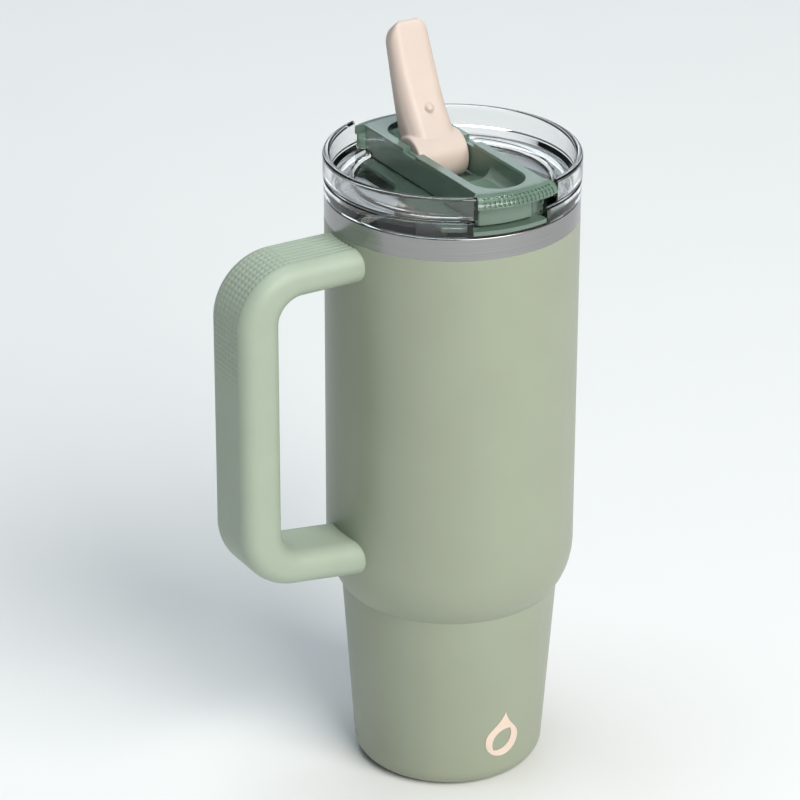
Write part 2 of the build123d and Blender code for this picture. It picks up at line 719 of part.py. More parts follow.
with BuildPart() as bridge_tub:
    with BuildSketch(Plane.XY.offset(flange_bottom_z)):
        Rectangle(2 * tub_half, 100)
        Circle(tub_end_r, mode=Mode.INTERSECT)
    extrude(amount=deck_under_z - flange_bottom_z)
    # Flange under the bowl's floor, with a tab that fills each gap in the ring.
    with BuildSketch(Plane.XY.offset(flange_bottom_z)):
        Polygon(
            (-flange_half, 60), (-flange_half, flange_step_high),
            (-flange_wide_half, flange_step_low), (-flange_wide_half, -60),
            (flange_wide_half, -60), (flange_wide_half, flange_step_low),
            (flange_half, flange_step_high), (flange_half, 60),
        )
        Circle(flange_r, mode=Mode.INTERSECT)
    extrude(amount=flange_top_z - flange_bottom_z)
    for turn in (0, 180):
        end = Plane.XY.rotated((0, 0, turn))
        with BuildSketch(end.offset(flange_bottom_z)):
            with Locations((ring_gap_mid, ring_gap_y)):
                Rectangle(ring_gap_wide - 2 * tab_gap, ring_gap_long - 2 * tab_gap)
            Circle(tab_r, mode=Mode.INTERSECT)
        extrude(amount=flange_top_z - flange_bottom_z)
        with BuildSketch(end.offset(boss_low_z)) as boss_plan:
            with Locations(((boss_left + boss_right) / 2, -(boss_in + 5))):
                Rectangle(boss_right - boss_left, 10)
            Circle(boss_r, mode=Mode.INTERSECT)
            fillet(boss_plan.vertices().sort_by(Axis.Y)[:2], boss_round)
        extrude(amount=shoulder_low_z - boss_low_z)
    # Well round the barrel, its seat block and the nipple for the straw.
    with BuildSketch(Plane.YZ):
        with Locations((hinge_y, hinge_z)):
            Circle(well_r + well_wall)
        with Locations((sill_y, flange_bottom_z)):
            Rectangle(sill_long, sill_high)
        with Locations((hinge_y, hinge_z + 10)):
            Rectangle(40, 20, mode=Mode.SUBTRACT)
    extrude(amount=tub_half, both=True)
    with BuildSketch(Plane.XY.offset(block_low_z)):
        with Locations((0, port_y)):
            Circle(block_r)
    extrude(amount=block_high)
    with BuildSketch(Plane.XY.offset(nipple_bottom_z)):
        with Locations((0, port_y)):
            Circle(straw_r)
    extrude(amount=block_low_z - nipple_bottom_z + 1)
    # Hollows: channel, ramp, well, rear pocket and the pocket under the channel.
    add(channel_room.part, mode=Mode.SUBTRACT)
    with BuildSketch(Plane.YZ):
        Polygon(
            (ramp_start_y, channel_floor_z), (ramp_end_y, well_open_z), (hinge_y, well_open_z),
            (hinge_y, deck_z), (ramp_start_y, deck_z),
        )
    extrude(amount=slot_half, both=True, mode=Mode.SUBTRACT)
    with BuildSketch(Plane.YZ):
        with Locations((hinge_y, hinge_z)):
            Circle(well_r)
    extrude(amount=slot_half, both=True, mode=Mode.SUBTRACT)
    with BuildSketch(Plane.XY.offset(rear_floor_z)):
        add(slot_plan.sketch)
        with Locations((0, hinge_y - 40)):
            Rectangle(60, 80, mode=Mode.SUBTRACT)
    extrude(amount=15, mode=Mode.SUBTRACT)
    with BuildSketch(Plane.XY.offset(flange_bottom_z)):
        with Locations((0, pocket_y)):
            Rectangle(2 * slot_half, pocket_long)
    extrude(amount=channel_floor_z - channel_sheet - flange_bottom_z, mode=Mode.SUBTRACT)
    # Liquid path, seal seat, vent and pin holes.
    with BuildSketch(Plane.XY.offset(seat_low_z)):
        with Locations((0, port_y)):
            Circle(seat_r)
    extrude(amount=8, mode=Mode.SUBTRACT)
    with BuildSketch(Plane.XY.offset(nipple_bottom_z)):
        with Locations((0, port_y)):
            Circle(spout_bore_r)
    extrude(amount=15, mode=Mode.SUBTRACT)
    with BuildSketch(Plane.XY.offset(flange_bottom_z)):
        with Locations((0, vent_y)):
            Circle(vent_r)
    extrude(amount=6, mode=Mode.SUBTRACT)
    with BuildSketch(Plane.XY.offset(dimple_low_z)):
        with Locations((0, vent_y)):
            Circle(bump_r + 0.5)
    extrude(amount=6, mode=Mode.SUBTRACT)
    with BuildSketch(Plane.YZ):
        with Locations((hinge_y, hinge_z)):
            Circle(pin_r)
    extrude(amount=20, both=True, mode=Mode.SUBTRACT)
bridge_tub.part.label = "bridge_tub"

with BuildPart() as hinge_pins:
    for side in (-1, 1):
        with BuildSketch(Plane.YZ.offset(side * pin_inner)):
            with Locations((hinge_y, hinge_z)):
                Circle(pin_r)
        extrude(amount=side * (skirt_half - 0.1 - pin_inner))
hinge_pins.part.label = "hinge_pins"

# Saddle-shaped silicone seat that the barrel turns against.
with BuildPart() as port_seal:
    with BuildSketch(Plane.XY.offset(seat_low_z)):
        with Locations((0, port_y)):
            Circle(seat_r)
            Circle(spout_bore_r, mode=Mode.SUBTRACT)
    extrude(amount=8)
    with BuildSketch(Plane.YZ):
        with Locations((hinge_y, hinge_z)):
            Circle(well_r - 0.05)
    extrude(amount=20, both=True, mode=Mode.SUBTRACT)
    with BuildSketch(Plane.XY.offset(hinge_z - 4)):
        Rectangle(100, 100)
    extrude(amount=20, mode=Mode.SUBTRACT)
port_seal.part.label = "port_seal"

# Duckbill under the floor: a flange, a post through the vent hole and a tapered bill.
vent_flange_r = 3.3
vent_flange_h = 0.9
vent_post_h = 1.8
vent_bill_r = 1.9
vent_bill_h = 3.0
vent_bore_r = 0.5

with BuildPart() as vent_valve:
    with BuildSketch(Plane.XY.offset(flange_bottom_z - vent_flange_h)):
        with Locations((0, vent_y)):
            Circle(vent_flange_r)
    extrude(amount=vent_flange_h)
    with BuildSketch(Plane.XY.offset(flange_bottom_z)):
        with Locations((0, vent_y)):
            Circle(vent_r)
    extrude(amount=vent_post_h)
    with BuildSketch(Plane.XY.offset(flange_bottom_z - vent_flange_h)):
        with Locations((0, vent_y)):
            Circle(vent_bill_r)
    extrude(amount=-vent_bill_h, taper=14)
    with BuildSketch(Plane.XY.offset(flange_bottom_z - 5)):
        with Locations((0, vent_y)):
            Circle(vent_bore_r)
    extrude(amount=10, mode=Mode.SUBTRACT)
vent_valve.part.label = "vent_valve"

# ---------------------------------------------------------------- straw
socket_out_r = 6.2
socket_low_z = 219.5
with BuildPart() as straw_socket:
    with BuildSketch(Plane.XY.offset(socket_low_z)):
        with Locations((0, port_y)):
            Circle(socket_out_r)
            Circle(straw_r, mode=Mode.SUBTRACT)
    extrude(amount=block_low_z - socket_low_z)
    fillet(straw_socket.edges().group_by(Axis.Z)[0].sort_by(SortBy.LENGTH)[-1], 0.8)
straw_socket.part.label = "straw_socket"

with BuildPart() as straw:
    with BuildSketch(Plane.XY.offset(straw_bottom_z)):
        with Locations((0, port_y)):
            Circle(straw_r)
            Circle(straw_bore_r, mode=Mode.SUBTRACT)
    extrude(amount=nipple_bottom_z - 0.3 - straw_bottom_z)
    fillet(straw.edges().group_by(Axis.Z)[0], 0.3)
straw.part.label = "straw"

# ---------------------------------------------------------------- flip spout
# Plane at the hinge whose normal runs up the raised spout; its +Y points to the back.
spout_plane = Plane(
    origin=(0, hinge_y, hinge_z), x_dir=(1, 0, 0), z_dir=(0, lean_sin, lean_cos)
)
tube_r = 3.5
tube_end = 26.0
# Distance up the spout, width, reach to the front and to the back of the hinge axis, and the
# corner radii at the front and at the back as shares of the depth.
stem_sections = [
    (-1.0, 18.4, 5.0, 8.0, 0.30, 0.40),
    (4.0, 19.4, 7.2, 9.2, 0.30, 0.40),
    (10.0, 19.9, 5.8, 9.4, 0.30, 0.40),
    (17.0, 19.9, 3.9, 9.3, 0.30, 0.40),
    (24.0, 19.6, 2.4, 9.1, 0.34, 0.42),
    (32.0, 19.2, 1.3, 8.9, 0.40, 0.44),
    (40.0, 18.7, 0.7, 8.7, 0.44, 0.46),
    (48.0, 18.1, 0.3, 8.5, 0.46, 0.46),
    (57.0, 17.4, 0.0, 8.3, 0.46, 0.46),
]
tip_front = 53.8         # height of the tip's front edge
tip_slope = 30.0         # the tip falls to the back
tip_half = 8.4           # half width at the very top, before its corners are rounded
tip_corner_r = 5.4
tip_edge_r = 1.6
mouth_depth = 4.5        # the mouth's floor, below the tip's front edge
mouth_long = 8.0
mouth_wide = 5.4

bump_protrusion = 1.7
bump_face = 3.55         # reach of the front face at the bump

# Outside of the stiff core: a barrel for the hinge and a tube up the stem.
with BuildPart() as core_shape:
    with BuildSketch(Plane.YZ.offset(-core_half)):
        with Locations((hinge_y, hinge_z)):
            Circle(core_r)
    extrude(amount=2 * core_half)
    with BuildSketch(spout_plane.offset(-3)):
        with Locations((0, spout_offset)):
            Circle(tube_r)
    extrude(amount=tube_end + 3)

with BuildPart() as barrel:
    with BuildSketch(Plane.YZ.offset(-barrel_half)):
        with Locations((hinge_y, hinge_z)):
            Circle(barrel_r)
    extrude(amount=2 * barrel_half)
    fillet(barrel.edges(), 0.8)

tip_place = spout_plane.offset(tip_front).location * Location((0, 0, 0), (-tip_slope, 0, 0))
tip_plane = Plane(tip_place)

with BuildPart() as spout:
    for along, wide, front, back, front_share, back_share in stem_sections:
        with BuildSketch(spout_plane.offset(along)) as section:
            with Locations((0, (back - front) / 2)):
                Rectangle(wide, front + back)
            fillet(section.vertices().group_by(Axis.Y)[0], front_share * (front + back))
            fillet(section.vertices().group_by(Axis.Y)[-1], back_share * (front + back))
    loft()
    # The tip is a dome in the front view that falls to the back.
    with BuildSketch(Plane(origin=tip_plane.origin, x_dir=(1, 0, 0), z_dir=-tip_plane.y_dir)):
        with BuildLine():
            dome = FilletPolyline(
                (-15, -80), (-15, -25), (-tip_half - 0.6, -9), (-tip_half, 0),
                (tip_half, 0), (tip_half + 0.6, -9), (15, -25), (15, -80),
                radius=[2, 2, tip_corner_r, tip_corner_r, 2, 2],
            )
            Line(dome @ 1, dome @ 0)
        make_face()
    extrude(amount=40, both=True, mode=Mode.INTERSECT)
    tip_face = spout.faces().sort_by(Axis((0, 0, 0), (0, lean_sin, lean_cos)))[-1]
    fillet(tip_face.edges(), tip_edge_r)
    add(barrel.part)
    with Locations(spout_plane.offset(bump_out)):
        with Locations((0, -(bump_face + bump_protrusion - bump_r))):
            Sphere(bump_r)
    add(core_shape.part, mode=Mode.SUBTRACT)
    with BuildSketch(spout_plane.offset(-12)):
        with Locations((0, spout_offset)):
            Circle(spout_bore_r)
    extrude(amount=80, mode=Mode.SUBTRACT)
    with BuildSketch(spout_plane.offset(tip_front - mouth_depth)):
        with Locations((0, spout_offset)):
            SlotOverall(mouth_long, mouth_wide)
    extrude(amount=10, mode=Mode.SUBTRACT)
    with BuildSketch(Plane.YZ):
        with Locations((hinge_y, hinge_z)):
            Circle(pin_r + fit_gap)
    extrude(amount=20, both=True, mode=Mode.SUBTRACT)
spout.part.label = "spout"

with BuildPart() as spout_core:
    add(core_shape.part)
    with BuildSketch(spout_plane.offset(-12)):
        with Locations((0, spout_offset)):
            Circle(spout_bore_r)
    extrude(amount=80, mode=Mode.SUBTRACT)
    for side in (-1, 1):
        with BuildSketch(Plane.YZ.offset(side * (pin_inner - fit_gap))):
            with Locations((hinge_y, hinge_z)):
                Circle(pin_r + 0.05)
        extrude(amount=side * 10, mode=Mode.SUBTRACT)
spout_core.part.label = "spout_core"

# ---------------------------------------------------------------- one STEP file per piece
os.makedirs("parts", exist_ok=True)
export_step(outer_shell.part, "parts/outer_shell.step")
export_step(inner_liner.part, "parts/inner_liner.step")
export_step(base_plate.part, "parts/base_plate.step")
export_step(vacuum_seal.part, "parts/vacuum_seal.step")
export_step(getter.part, "parts/getter.step")
export_step(front_mark.part, "parts/front_mark.step")
export_step(handle_core.part, "parts/handle_core.step")
export_step(handle_grip.part, "parts/handle_grip.step")
export_step(handle_brackets.part, "parts/handle_brackets.step")
export_step(handle_screws.part, "parts/handle_screws.step")
export_step(screw_plugs.part, "parts/screw_plugs.step")
export_step(lid_bowl.part, "parts/lid_bowl.step")
export_step(lid_gasket.part, "parts/lid_gasket.step")
export_step(bridge_cover.part, "parts/bridge_cover.step")
export_step(bridge_tub.part, "parts/bridge_tub.step")
export_step(hinge_pins.part, "parts/hinge_pins.step")
export_step(port_seal.part, "parts/port_seal.step")
export_step(vent_valve.part, "parts/vent_valve.step")
export_step(straw_socket.part, "parts/straw_socket.step")
export_step(straw.part, "parts/straw.step")
export_step(spout.part, "parts/spout.step")
export_step(spout_core.part, "parts/spout_core.step")
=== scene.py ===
import json
import math

import bmesh
import bpy
from mathutils import Matrix, Vector


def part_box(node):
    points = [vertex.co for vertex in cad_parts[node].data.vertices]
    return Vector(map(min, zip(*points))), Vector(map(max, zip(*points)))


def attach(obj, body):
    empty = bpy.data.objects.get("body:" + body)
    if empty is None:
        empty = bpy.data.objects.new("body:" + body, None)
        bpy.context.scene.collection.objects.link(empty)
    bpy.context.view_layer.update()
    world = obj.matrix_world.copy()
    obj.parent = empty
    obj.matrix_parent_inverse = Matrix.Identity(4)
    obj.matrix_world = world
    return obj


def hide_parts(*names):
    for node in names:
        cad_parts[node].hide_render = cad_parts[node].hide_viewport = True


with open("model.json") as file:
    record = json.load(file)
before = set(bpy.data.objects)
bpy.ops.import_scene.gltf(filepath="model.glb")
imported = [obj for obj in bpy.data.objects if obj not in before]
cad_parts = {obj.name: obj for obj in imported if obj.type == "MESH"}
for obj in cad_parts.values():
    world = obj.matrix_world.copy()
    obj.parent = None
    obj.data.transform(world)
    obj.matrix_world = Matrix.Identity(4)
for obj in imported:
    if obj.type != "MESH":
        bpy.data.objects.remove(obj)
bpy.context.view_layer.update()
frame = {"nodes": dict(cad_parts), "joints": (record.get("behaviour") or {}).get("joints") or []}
nodes = frame["nodes"]


# ---------------------------------------------------------------- materials
class Shader:
    """A material with one Principled shader, and short calls for the nodes that feed it."""

    def __init__(self, name, colour, roughness, **settings):
        self.material = bpy.data.materials.new(name)
        self.material.use_nodes = True
        self.tree = self.material.node_tree
        self.surface = self.tree.nodes["Principled BSDF"]
        self.surface.inputs["Base Color"].default_value = (*colour, 1)
        self.surface.inputs["Roughness"].default_value = roughness
        for setting, value in settings.items():
            self.surface.inputs[setting.replace("_", " ").title()].default_value = value

    def node(self, kind, **values):
        """Add a node; each value sets the input socket of that name."""
        made = self.tree.nodes.new(kind)
        for socket, value in values.items():
            made.inputs[socket].default_value = value
        return made

    def grain(self, scale, detail=2.0, stretch=(1, 1, 1)):
        """Noise in the object's own space; scale is in cycles per metre, stretched by axis."""
        place = self.node("ShaderNodeTexCoord")
        mapping = self.node("ShaderNodeMapping", Scale=stretch)
        noise = self.node("ShaderNodeTexNoise", Scale=scale, Detail=detail)
        self.tree.links.new(place.outputs["Object"], mapping.inputs["Vector"])
        self.tree.links.new(mapping.outputs["Vector"], noise.inputs["Vector"])
        return noise.outputs["Fac"]

    def vary_colour(self, fac, low, high):
        """Base colour runs from low to high with fac."""
        ramp = self.tree.nodes.new("ShaderNodeValToRGB")
        for element, place, colour in zip(ramp.color_ramp.elements, (0.3, 0.7), (low, high)):
            element.position = place
            element.color = (*colour, 1)
        self.tree.links.new(fac, ramp.inputs["Fac"])
        self.tree.links.new(ramp.outputs["Color"], self.surface.inputs["Base Color"])

    def vary_roughness(self, fac, low, high):
        """Roughness runs from low to high with fac."""
        span = self.node("ShaderNodeMapRange")
        span.inputs["From Min"].default_value = 0.3
        span.inputs["From Max"].default_value = 0.7
        span.inputs["To Min"].default_value = low
        span.inputs["To Max"].default_value = high
        self.tree.links.new(fac, span.inputs["Value"])
        self.tree.links.new(span.outputs["Result"], self.surface.inputs["Roughness"])

    def bump(self, fac, depth, strength=1.0):
        """Fine relief of that depth in metres."""
        relief = self.node("ShaderNodeBump", Strength=strength, Distance=depth)
        self.tree.links.new(fac, relief.inputs["Height"])
        self.tree.links.new(relief.outputs["Normal"], self.surface.inputs["Normal"])


def shade(colour, factor):
    """The colour, lighter or darker by a factor."""
    return tuple(part * factor for part in colour)


def paint_material():
    """Satin powder paint with a fine orange-peel grain."""
    sage = (0.282, 0.315, 0.236)
    paint = Shader("sage_paint", sage, 0.4, coat_weight=0.15, coat_roughness=0.3)
    paint.vary_colour(paint.grain(28, 3), shade(sage, 0.97), shade(sage, 1.03))
    paint.vary_roughness(paint.grain(900), 0.38, 0.46)
    paint.bump(paint.grain(2400, 3), 0.00004, 0.5)
    return paint.material


def grip_material():
    """Soft-touch moulding, a little cooler than the paint."""
    sage = (0.315, 0.375, 0.295)
    grip = Shader("sage_soft_grip", sage, 0.5, sheen_weight=0.1, sheen_roughness=0.5)
    grip.vary_colour(grip.grain(60, 4), shade(sage, 0.97), shade(sage, 1.03))
    grip.vary_roughness(grip.grain(700), 0.46, 0.56)
    grip.bump(grip.grain(3600, 2), 0.00003, 0.6)
    return grip.material


def steel_material():
    """Stainless steel brushed round the body's axis."""
    grey = (0.32, 0.32, 0.32)
    steel = Shader("brushed_steel", grey, 0.22, metallic=1.0, anisotropic=0.7)
    lines = steel.grain(1.0, 4, stretch=(30, 30, 5200))
    steel.vary_colour(lines, shade(grey, 0.90), shade(grey, 1.10))
    steel.vary_roughness(lines, 0.15, 0.28)
    steel.bump(lines, 0.00001, 0.6)
    tangent = steel.tree.nodes.new("ShaderNodeTangent")
    tangent.direction_type = "RADIAL"
    tangent.axis = "Z"
    steel.tree.links.new(tangent.outputs["Tangent"], steel.surface.inputs["Tangent"])
    return steel.material


def clear_material(name, colour, roughness, ior=1.49):
    """Clear moulded plastic with faint flow marks."""
    clear = Shader(name, colour, roughness, transmission_weight=1.0)
    clear.surface.inputs["IOR"].default_value = ior
    clear.bump(clear.grain(90, 2), 0.00002, 0.4)
    return clear.material


def green_material():
    """Translucent green plastic, a little cloudy."""
    green = (0.31, 0.45, 0.36)
    cloudy = Shader("green_translucent", green, 0.16, transmission_weight=0.60)
    cloudy.surface.inputs["IOR"].default_value = 1.53
    cloudy.vary_colour(cloudy.grain(120, 3), shade(green, 0.93), shade(green, 1.07))
    cloudy.vary_roughness(cloudy.grain(1500), 0.12, 0.22)
    cloudy.bump(cloudy.grain(1800, 2), 0.00002, 0.4)
    return cloudy.material


def silicone_material(name, colour, roughness, weight, **settings):
    """Satin silicone that lets a little light into it."""
    silicone = Shader(name, colour, roughness, subsurface_weight=weight, **settings)
    silicone.surface.inputs["Subsurface Radius"].default_value = (0.004, 0.002, 0.0013)
    silicone.surface.inputs["Subsurface Scale"].default_value = 0.6
    silicone.vary_colour(silicone.grain(80, 3), shade(colour, 0.98), shade(colour, 1.02))
    silicone.vary_roughness(silicone.grain(800), roughness - 0.05, roughness + 0.05)
    silicone.bump(silicone.grain(3000, 2), 0.00003, 0.5)
    return silicone.material


def matt_material(name, colour, roughness):
    """Plain moulded plastic or print with a fine grain."""
    matt = Shader(name, colour, roughness)
    matt.vary_colour(matt.grain(150, 3), shade(colour, 0.95), shade(colour, 1.05))
    matt.bump(matt.grain(4000, 2), 0.00003, 0.5)
    return matt.material


blush = (0.575, 0.478, 0.425)
paint = paint_material()
grip = grip_material()
steel = steel_material()
lid_clear = clear_material("clear_plastic", (0.985, 0.99, 0.988), 0.02)
straw_clear = clear_material("straw_plastic", (0.95, 0.96, 0.96), 0.1)
green = green_material()
spout_silicone = silicone_material("blush_silicone", blush, 0.45, 0.3)
seal_silicone = silicone_material(
    "seal_silicone", (0.80, 0.82, 0.81), 0.35, 0.2, transmission_weight=0.4
)
core_plastic = matt_material("core_plastic", (0.70, 0.62, 0.55), 0.4)
handle_plastic = matt_material("handle_core_plastic", (0.25, 0.29, 0.20), 0.5)
print_blush = matt_material("mark_print", (0.72, 0.58, 0.49), 0.45)
resin = matt_material("seal_resin", (0.16, 0.17, 0.18), 0.3)

materials = {
    "outer_shell": paint,
    "inner_liner": steel,
    "base_plate": steel,
    "vacuum_seal": resin,
    "getter": steel,
    "front_mark": print_blush,
    "handle_core": handle_plastic,
    "handle_grip": grip,
    "handle_brackets": steel,
    "handle_screws": steel,
    "screw_plugs": grip,
    "lid_bowl": lid_clear,
    "lid_gasket": seal_silicone,
    "bridge_cover": green,
    "bridge_tub": green,
    "hinge_pins": steel,
    "port_seal": seal_silicone,
    "vent_valve": seal_silicone,
    "straw_socket": seal_silicone,
    "straw": straw_clear,
    "spout": spout_silicone,
    "spout_core": core_plastic,
}
for node_name, material in materials.items():
    for slot in nodes[node_name].material_slots:
        slot.material = material


# ---------------------------------------------------------------- meshes of our own
def new_object(name, mesh):
    """Link a mesh to the scene as an object."""
    made = bpy.data.objects.new(name, mesh)
    bpy.context.collection.objects.link(made)
    return made


def closed_mesh(name, rings, caps):
    """Skin a list of equal rings, in a loop where caps is False, with outward normals."""
    shape = bmesh.new()
    rows = [[shape.verts.new(point) for point in ring] for ring in rings]
    count = len(rows[0])
    pairs = list(zip(rows, rows[1:] if caps else rows[1:] + rows[:1]))
    for low, high in pairs:
        for k in range(count):
            m = (k + 1) % count
            shape.faces.new((low[k], low[m], high[m], high[k]))
    if caps:
        shape.faces.new(rows[0][::-1])
        shape.faces.new(rows[-1])
    bmesh.ops.recalc_face_normals(shape, faces=shape.faces)
    mesh = bpy.data.meshes.new(name)
    shape.to_mesh(mesh)
    shape.free()
    return mesh


def rod(name, start, end, radius, stretch=0.0, steps=48):
    """Closed rod between two points; stretch makes its section a slot along X."""
    start, end = Vector(start), Vector(end)
    along = (end - start).normalized()
    side = Vector((1, 0, 0)) if abs(along.x) < 0.9 else Vector((0, 1, 0))
    up = along.cross(side)
    rings = []
    for place in (start, end):
        ring = []
        for k in range(steps):
            angle = 2 * math.pi * (k + 0.5) / steps
            reach = radius * math.cos(angle) + math.copysign(stretch, math.cos(angle))
            ring.append(place + side * reach + up * radius * math.sin(angle))
        rings.append(ring)
    return new_object(name, closed_mesh(name, rings, True))


def settle(piece):
    """Turn the piece's modifiers into its mesh."""
    shape = piece.evaluated_get(bpy.context.evaluated_depsgraph_get())
    mesh = bpy.data.meshes.new_from_object(shape)
    piece.modifiers.clear()
    piece.data = mesh


def carve(piece, cutters):
    """Cut each cutter out of the piece, and delete the cutters."""
    for cutter in cutters:
        cut = piece.modifiers.new(cutter.name, "BOOLEAN")
        cut.operation = "DIFFERENCE"
        cut.solver = "EXACT"
        cut.object = cutter
    settle(piece)
    for cutter in cutters:
        bpy.data.objects.remove(cutter)


def finish_piece(piece, material, smooth_angle):
    """One material and smooth shading up to an angle."""
    piece.data.materials.clear()
    piece.data.materials.append(material)
    piece.data.shade_smooth()
    piece.data.set_sharp_from_angle(angle=math.radians(smooth_angle))


# ---------------------------------------------------------------- soft grip of the handle
grip_low, grip_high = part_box("handle_grip")
body_r = 0.049
grip_reach = -grip_low[0]
arm_sink = 0.00005        # reach of the arms' ends into the wall of the body
grip_top = grip_high[2]
grip_half = grip_high[1]
grip_depth = 0.0174
arm_depth = 0.0138
edge_r = 0.0064
skin = 0.0026
low_tilt = math.radians(7.25)
low_arm_z = 0.109         # top of the lower arm, low_arm_out from the axis
low_arm_out = 0.052
top_out_r, top_in_r = 0.0245, 0.0096
low_out_r, low_in_r = 0.0250, 0.0100
plug_out = 0.059
plug_r = 0.0036
plug_room = 0.0038
plug_cut = 0.003

dimple_depth = 0.00032
dimple_along = 0.0022
dimple_across = 0.0026
dimple_start = -0.006     # lengths along the outer line, from the top corner's start
dimple_end = 0.070
dimple_half = 0.0092      # half width of the dimpled strip
dimple_fade = 0.0050


def ease(share):
    """Smooth step from 0 to 1."""
    share = min(max(share, 0), 1)
    return share * share * (3 - 2 * share)


def dimple(run, across):
    """Depth of the dimples at a length along the outer line and a distance from its middle."""
    ends = ease((run - dimple_start) / dimple_fade) * ease((dimple_end - run) / (4 * dimple_fade))
    sides = ease((dimple_half - abs(across)) / (0.3 * dimple_fade))
    wave_along = 0.5 + 0.5 * math.cos(2 * math.pi * run / dimple_along)
    wave_across = 0.5 + 0.5 * math.cos(2 * math.pi * across / dimple_across)
    return dimple_depth * ends * sides * (wave_along * wave_across) ** 0.75


def half_section(depth, half, radius):
    """Half of a rounded section, from the middle of its outer face to that of its inner one.

    Each point has its distance inwards, its distance across, its normal on those two axes
    and its length from the middle of the outer face.
    """
    flat = half - radius
    points = [(0, flat * k / 23, -1, 0, flat * k / 23) for k in range(23)]
    fine = math.radians(24)
    outer_angles = [fine * k / 8 for k in range(8)]
    outer_angles += [fine + (math.pi / 2 - fine) * k / 8 for k in range(9)]
    for angle in outer_angles:
        inwards, across = -math.cos(angle), math.sin(angle)
        length = flat + radius * angle
        points.append((radius * (1 + inwards), flat + radius * across, inwards, across, length))
    side = depth - 2 * radius
    points += [(radius + side * k / 4, half, 0, 1, half + depth) for k in (1, 2, 3)]
    for k in range(9):
        angle = math.pi / 2 * k / 8
        inwards, across = math.sin(angle), math.cos(angle)
        place = (depth - radius + radius * inwards, flat + radius * across)
        points.append((*place, inwards, across, half + depth))
    points += [(depth, flat * (1 - k / 6), 1, 0, half + depth) for k in range(1, 7)]
    return points


def grip_ring(outer, inner, inset, run):
    """Ring in the plane through an outer and an inner point of the handle's side view."""
    inwards = (inner - outer).normalized()
    depth = (inner - outer).length
    ring = []
    half = half_section(depth, grip_half - inset, edge_r - inset)
    both = half + [(d, -y, nd, -ny, u) for d, y, nd, ny, u in half[-2:0:-1]]
    for in_by, across, normal_in, normal_across, length in both:
        sink = 0 if inset or run is None else dimple(run, length)
        place = outer + inwards * (in_by - sink * normal_in)
        ring.append(Vector((place.x, across - sink * normal_across, place.y)))
    return ring


def arm_rings(ring, tilt, shares):
    """Carry the ring of a corner's end straight on to the body's cylinder."""
    rings = []
    for share in shares:
        carried = []
        for point in ring:
            root_x = -math.sqrt((body_r - arm_sink) ** 2 - point.y**2)
            root = Vector((root_x, point.y, point.z - math.tan(tilt) * (root_x - point.x)))
            carried.append(point.lerp(root, share))
        rings.append(carried)
    return rings


def handle_rings(inset, fine):
    """Rings of the handle from the body through the grip and back to the body."""
    x_out, x_in = -grip_reach + inset, -grip_reach + grip_depth - inset
    z_out, z_in = grip_top - inset, grip_top - arm_depth + inset
    drop = inset / math.cos(low_tilt)
    radii = (top_out_r - inset, top_in_r + inset)
    low_radii = (low_out_r - inset, low_in_r + inset)
    top_centres = (
        Vector((x_out + radii[0], z_out - radii[0])),
        Vector((x_in + radii[1], z_in - radii[1])),
    )
    low_turn = math.pi / 2 - low_tilt
    low_lines = (low_arm_z - arm_depth + drop, low_arm_z - drop)
    low_centres = []
    for x, line, radius in zip((x_out, x_in), low_lines, low_radii):
        meet = line + (-x - low_arm_out) * math.tan(low_tilt)
        low_centres.append(Vector((x + radius, meet + radius * math.tan(low_turn / 2))))

    def on_arc(centre, radius, angle):
        return centre + radius * Vector((math.cos(angle), math.sin(angle)))

    rings = []
    arc_length = top_out_r * math.pi / 2
    corner_steps = 115 if fine else 20
    for k in range(corner_steps + 1):
        angle = math.pi / 2 * (1 + k / corner_steps)
        outer, inner = (on_arc(c, r, angle) for c, r in zip(top_centres, radii))
        rings.append(grip_ring(outer, inner, inset, arc_length * k / corner_steps))
    straight = top_centres[0].y - low_centres[0].y
    dimpled = (dimple_end - arc_length) / straight
    shares = [dimpled * k / 96 for k in range(1, 97)] if fine else []
    first = dimpled if fine else 0
    shares += [first + (1 - first) * k / 16 for k in range(1, 16)]
    for share in shares:
        outer = Vector((x_out, top_centres[0].y * (1 - share) + low_centres[0].y * share))
        inner = Vector((x_in, top_centres[1].y * (1 - share) + low_centres[1].y * share))
        rings.append(grip_ring(outer, inner, inset, arc_length + straight * share))
    for k in range(25):
        angle = math.pi + low_turn * k / 24
        outer, inner = (on_arc(c, r, angle) for c, r in zip(low_centres, low_radii))
        rings.append(grip_ring(outer, inner, inset, None))
    low_arm = arm_rings(rings[-1], low_tilt, [k / 12 for k in range(1, 13)])
    top_arm = arm_rings(rings[0], 0, [k / 12 for k in range(12, 0, -1)])
    return top_arm + rings + low_arm


def make_grip():
    """Soft moulding round the handle: a hollow skin with soft dimples on its outer face."""
    rings = handle_rings(0, True) + handle_rings(skin, False)[::-1]
    piece = new_object("grip_moulding", closed_mesh("grip_moulding", rings, False))
    top_under = grip_top - arm_depth
    low_under = low_arm_z - arm_depth + (plug_out - low_arm_out) * math.tan(low_tilt)
    holes = [
        rod("plug_hole", (-plug_out, 0, under - plug_cut), (-plug_out, 0, under + plug_room), plug_r)
        for under in (top_under, low_under)
    ]
    carve(piece, holes)
    finish_piece(piece, grip, 35)
    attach(piece, "mug")
    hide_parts("handle_grip")


# ---------------------------------------------------------------- flip spout
flip = next(joint for joint in frame["joints"] if joint["name"] == "spout_flip")
hinge = Vector(flip["pos_m"])
lean = math.radians(20.0)
stem_up = Vector((0, math.sin(lean), math.cos(lean)))
stem_back = Vector((0, math.cos(lean), -math.sin(lean)))
